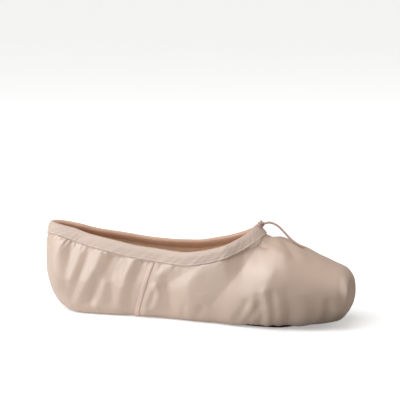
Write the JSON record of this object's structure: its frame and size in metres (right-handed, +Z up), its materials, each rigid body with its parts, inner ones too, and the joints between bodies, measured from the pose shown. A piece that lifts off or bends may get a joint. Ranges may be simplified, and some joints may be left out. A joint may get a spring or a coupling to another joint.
{
  "type": "pointe shoe",
  "caption": "Straight-lasted ballet shoe with a stiffened flat-ended toe box, a drawstring casing round its opening, side seams and a thin narrow outsole.",
  "frame": {"origin": "on the floor under the middle of the shoe's length and width, without the drawstring's free end", "axes": "+X to the toe, +Z up from the floor, Y across the shoe"},
  "size_m": [0.2362, 0.076, 0.073],
  "materials": {
    "satin": "pale pink satin with a soft sheen",
    "casing": "pale pink woven tape, dull satin",
    "sole_leather": "dark leather, matt",
    "sock": "beige cotton cloth, matt",
    "cord": "pink cotton cord, matt"
  },
  "bodies": {
    "root": {"upper": "satin", "seam_near": "satin", "seam_far": "satin", "binding": "casing", "outsole": "sole_leather", "insole": "sock", "knot": "cord", "drawstring_end": "cord"}
  },
  "joints": []
}
